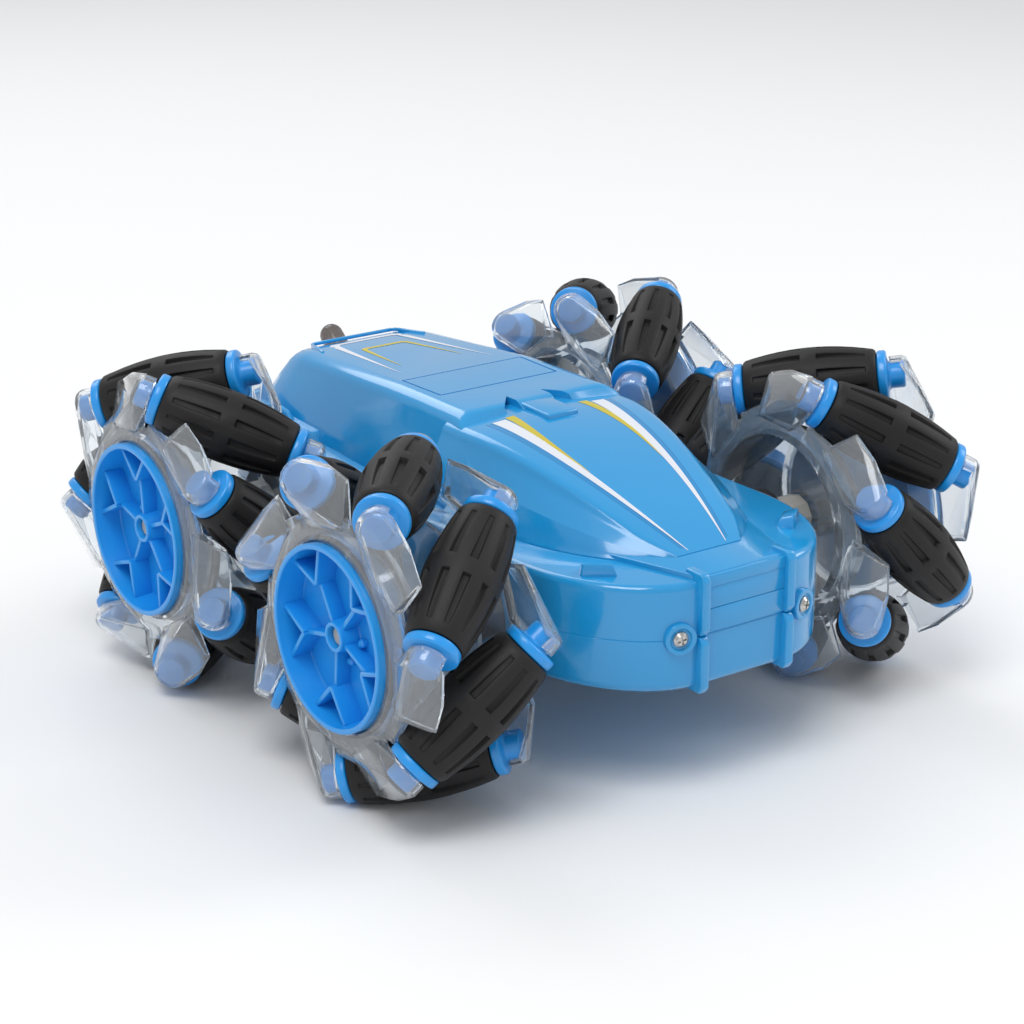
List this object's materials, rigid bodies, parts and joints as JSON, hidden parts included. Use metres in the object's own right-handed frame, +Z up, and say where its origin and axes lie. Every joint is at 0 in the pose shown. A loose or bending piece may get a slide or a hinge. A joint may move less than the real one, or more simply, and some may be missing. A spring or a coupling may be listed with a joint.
{
  "type": "rc stunt car",
  "caption": "Radio-controlled stunt car with a low blue body and clear-sided mecanum wheels whose angled barrel rollers let it drive sideways and spin on the spot.",
  "frame": {"origin": "on the ground, under the middle of the car", "axes": "+Z up, the car's front faces -Y, its width lies along X"},
  "size_m": [0.1656, 0.176, 0.0795],
  "materials": {
    "body_blue": "moulded gloss blue ABS",
    "hub_blue": "moulded semi-gloss blue",
    "rubber": "matt black soft sleeve with lengthwise grooves",
    "clear": "clear polished styrene",
    "dark": "dark moulded plastic",
    "grey": "frosted grey plastic",
    "steel": "bright plated screw",
    "board_green": "solder-masked board",
    "smoked": "glossy smoked translucent plastic",
    "decal_white": "printed white sticker",
    "decal_yellow": "printed yellow sticker"
  },
  "bodies": {
    "chassis": {"upper_shell": "body_blue", "lower_shell": "body_blue", "battery_door": "body_blue", "battery_pack": "dark", "circuit_board": "board_green", "switch_case": "grey", "tail_lens": "smoked", "bumper_screw_left": "steel", "bumper_screw_right": "steel", "door_screw": "steel", "front_left_gearmotor": "dark", "rear_left_gearmotor": "dark", "front_right_gearmotor": "dark", "rear_right_gearmotor": "dark"},
    "front_left_wheel": {"front_left_hub": "hub_blue", "front_left_outer_shell": "clear", "front_left_inner_shell": "clear", "front_left_axle": "grey"},
    "front_left_roller_1": {"front_left_roller_1": "rubber"},
    "front_left_roller_2": {"front_left_roller_2": "rubber"},
    "front_left_roller_3": {"front_left_roller_3": "rubber"},
    "front_left_roller_4": {"front_left_roller_4": "rubber"},
    "front_left_roller_5": {"front_left_roller_5": "rubber"},
    "front_left_roller_6": {"front_left_roller_6": "rubber"},
    "front_left_roller_7": {"front_left_roller_7": "rubber"},
    "rear_left_wheel": {"rear_left_hub": "hub_blue", "rear_left_outer_shell": "clear", "rear_left_inner_shell": "clear", "rear_left_axle": "grey"},
    "rear_left_roller_1": {"rear_left_roller_1": "rubber"},
    "rear_left_roller_2": {"rear_left_roller_2": "rubber"},
    "rear_left_roller_3": {"rear_left_roller_3": "rubber"},
    "rear_left_roller_4": {"rear_left_roller_4": "rubber"},
    "rear_left_roller_5": {"rear_left_roller_5": "rubber"},
    "rear_left_roller_6": {"rear_left_roller_6": "rubber"},
    "rear_left_roller_7": {"rear_left_roller_7": "rubber"},
    "front_right_wheel": {"front_right_hub": "hub_blue", "front_right_outer_shell": "clear", "front_right_inner_shell": "clear", "front_right_axle": "grey"},
    "front_right_roller_1": {"front_right_roller_1": "rubber"},
    "front_right_roller_2": {"front_right_roller_2": "rubber"},
    "front_right_roller_3": {"front_right_roller_3": "rubber"},
    "front_right_roller_4": {"front_right_roller_4": "rubber"},
    "front_right_roller_5": {"front_right_roller_5": "rubber"},
    "front_right_roller_6": {"front_right_roller_6": "rubber"},
    "front_right_roller_7": {"front_right_roller_7": "rubber"},
    "rear_right_wheel": {"rear_right_hub": "hub_blue", "rear_right_outer_shell": "clear", "rear_right_inner_shell": "clear", "rear_right_axle": "grey"},
    "rear_right_roller_1": {"rear_right_roller_1": "rubber"},
    "rear_right_roller_2": {"rear_right_roller_2": "rubber"},
    "rear_right_roller_3": {"rear_right_roller_3": "rubber"},
    "rear_right_roller_4": {"rear_right_roller_4": "rubber"},
    "rear_right_roller_5": {"rear_right_roller_5": "rubber"},
    "rear_right_roller_6": {"rear_right_roller_6": "rubber"},
    "rear_right_roller_7": {"rear_right_roller_7": "rubber"},
    "power_switch": {"power_switch": "dark"}
  },
  "joints": [
    {"name": "front_left_wheel_spin", "type": "hinge", "parent": "chassis", "child": "front_left_wheel", "pos_m": [-0.0632, -0.04275, 0.03976], "axis": [1, 0, 0], "continuous": true},
    {"name": "front_left_roller_1_spin", "type": "hinge", "parent": "front_left_wheel", "child": "front_left_roller_1", "pos_m": [-0.0632, -0.04547, 0.07084], "axis": [-0.7071, -0.7044, -0.0616], "continuous": true},
    {"name": "front_left_roller_2_spin", "type": "hinge", "parent": "front_left_wheel", "child": "front_left_roller_2", "pos_m": [-0.0632, -0.06875, 0.05701], "axis": [-0.7071, -0.391, -0.5892], "continuous": true},
    {"name": "front_left_roller_3_spin", "type": "hinge", "parent": "front_left_wheel", "child": "front_left_roller_3", "pos_m": [-0.0632, -0.07245, 0.03019], "axis": [-0.7071, 0.2168, -0.673], "continuous": true},
    {"name": "front_left_roller_4_spin", "type": "hinge", "parent": "front_left_wheel", "child": "front_left_roller_4", "pos_m": [-0.0632, -0.05379, 0.01058], "axis": [-0.7071, 0.6614, -0.2501], "continuous": true},
    {"name": "front_left_roller_5_spin", "type": "hinge", "parent": "front_left_wheel", "child": "front_left_roller_5", "pos_m": [-0.0632, -0.02681, 0.01294], "axis": [-0.7071, 0.6079, 0.3612], "continuous": true},
    {"name": "front_left_roller_6_spin", "type": "hinge", "parent": "front_left_wheel", "child": "front_left_roller_6", "pos_m": [-0.0632, -0.01184, 0.03549], "axis": [-0.7071, 0.0967, 0.7005], "continuous": true},
    {"name": "front_left_roller_7_spin", "type": "hinge", "parent": "front_left_wheel", "child": "front_left_roller_7", "pos_m": [-0.0632, -0.02015, 0.06126], "axis": [-0.7071, -0.4874, 0.5123], "continuous": true},
    {"name": "rear_left_wheel_spin", "type": "hinge", "parent": "chassis", "child": "rear_left_wheel", "pos_m": [-0.0632, 0.04275, 0.03976], "axis": [1, 0, 0], "continuous": true},
    {"name": "rear_left_roller_1_spin", "type": "hinge", "parent": "rear_left_wheel", "child": "rear_left_roller_1", "pos_m": [-0.0632, 0.02668, 0.0665], "axis": [-0.7071, 0.6061, 0.3642], "continuous": true},
    {"name": "rear_left_roller_2_spin", "type": "hinge", "parent": "rear_left_wheel", "child": "rear_left_roller_2", "pos_m": [-0.0632, 0.01182, 0.04387], "axis": [-0.7071, 0.0932, 0.7009], "continuous": true},
    {"name": "rear_left_roller_3_spin", "type": "hinge", "parent": "rear_left_wheel", "child": "rear_left_roller_3", "pos_m": [-0.0632, 0.02025, 0.01814], "axis": [-0.7071, -0.4899, 0.5099], "continuous": true},
    {"name": "rear_left_roller_4_spin", "type": "hinge", "parent": "rear_left_wheel", "child": "rear_left_roller_4", "pos_m": [-0.0632, 0.04562, 0.00869], "axis": [-0.7071, -0.7041, -0.0651], "continuous": true},
    {"name": "rear_left_roller_5_spin", "type": "hinge", "parent": "rear_left_wheel", "child": "rear_left_roller_5", "pos_m": [-0.0632, 0.06883, 0.02264], "axis": [-0.7071, -0.3881, -0.5911], "continuous": true},
    {"name": "rear_left_roller_6_spin", "type": "hinge", "parent": "rear_left_wheel", "child": "rear_left_roller_6", "pos_m": [-0.0632, 0.0724, 0.04948], "axis": [-0.7071, 0.2202, -0.672], "continuous": true},
    {"name": "rear_left_roller_7_spin", "type": "hinge", "parent": "rear_left_wheel", "child": "rear_left_roller_7", "pos_m": [-0.0632, 0.05364, 0.069], "axis": [-0.7071, 0.6626, -0.2468], "continuous": true},
    {"name": "front_right_wheel_spin", "type": "hinge", "parent": "chassis", "child": "front_right_wheel", "pos_m": [0.0632, -0.04275, 0.03976], "axis": [1, 0, 0], "continuous": true},
    {"name": "front_right_roller_1_spin", "type": "hinge", "parent": "front_right_wheel", "child": "front_right_roller_1", "pos_m": [0.0632, -0.0628, 0.06366], "axis": [0.7071, -0.5417, -0.4545], "continuous": true},
    {"name": "front_right_roller_2_spin", "type": "hinge", "parent": "front_right_wheel", "child": "front_right_roller_2", "pos_m": [0.0632, -0.07394, 0.03898], "axis": [0.7071, 0.0176, -0.7069], "continuous": true},
    {"name": "front_right_roller_3_spin", "type": "hinge", "parent": "front_right_wheel", "child": "front_right_roller_3", "pos_m": [0.0632, -0.06159, 0.01489], "axis": [0.7071, 0.5637, -0.427], "continuous": true},
    {"name": "front_right_roller_4_spin", "type": "hinge", "parent": "front_right_wheel", "child": "front_right_roller_4", "pos_m": [0.0632, -0.03505, 0.00952], "axis": [0.7071, 0.6852, 0.1745], "continuous": true},
    {"name": "front_right_roller_5_spin", "type": "hinge", "parent": "front_right_wheel", "child": "front_right_roller_5", "pos_m": [0.0632, -0.01431, 0.02693], "axis": [0.7071, 0.2908, 0.6445], "continuous": true},
    {"name": "front_right_roller_6_spin", "type": "hinge", "parent": "front_right_wheel", "child": "front_right_roller_6", "pos_m": [0.0632, -0.01499, 0.05399], "axis": [0.7071, -0.3226, 0.6292], "continuous": true},
    {"name": "front_right_roller_7_spin", "type": "hinge", "parent": "front_right_wheel", "child": "front_right_roller_7", "pos_m": [0.0632, -0.03657, 0.07034], "axis": [0.7071, -0.6931, 0.1401], "continuous": true},
    {"name": "rear_right_wheel_spin", "type": "hinge", "parent": "chassis", "child": "rear_right_wheel", "pos_m": [0.0632, 0.04275, 0.03976], "axis": [1, 0, 0], "continuous": true},
    {"name": "rear_right_roller_1_spin", "type": "hinge", "parent": "rear_right_wheel", "child": "rear_right_roller_1", "pos_m": [0.0632, 0.02668, 0.0665], "axis": [0.7071, 0.6061, 0.3642], "continuous": true},
    {"name": "rear_right_roller_2_spin", "type": "hinge", "parent": "rear_right_wheel", "child": "rear_right_roller_2", "pos_m": [0.0632, 0.01182, 0.04387], "axis": [0.7071, 0.0932, 0.7009], "continuous": true},
    {"name": "rear_right_roller_3_spin", "type": "hinge", "parent": "rear_right_wheel", "child": "rear_right_roller_3", "pos_m": [0.0632, 0.02025, 0.01814], "axis": [0.7071, -0.4899, 0.5099], "continuous": true},
    {"name": "rear_right_roller_4_spin", "type": "hinge", "parent": "rear_right_wheel", "child": "rear_right_roller_4", "pos_m": [0.0632, 0.04562, 0.00869], "axis": [0.7071, -0.7041, -0.0651], "continuous": true},
    {"name": "rear_right_roller_5_spin", "type": "hinge", "parent": "rear_right_wheel", "child": "rear_right_roller_5", "pos_m": [0.0632, 0.06883, 0.02264], "axis": [0.7071, -0.3881, -0.5911], "continuous": true},
    {"name": "rear_right_roller_6_spin", "type": "hinge", "parent": "rear_right_wheel", "child": "rear_right_roller_6", "pos_m": [0.0632, 0.0724, 0.04948], "axis": [0.7071, 0.2202, -0.672], "continuous": true},
    {"name": "rear_right_roller_7_spin", "type": "hinge", "parent": "rear_right_wheel", "child": "rear_right_roller_7", "pos_m": [0.0632, 0.05364, 0.069], "axis": [0.7071, 0.6626, -0.2468], "continuous": true},
    {"name": "power_switch_slide", "type": "slide", "parent": "chassis", "child": "power_switch", "axis": [0, 1, 0], "range_m": [0, 0.003]}
  ]
}
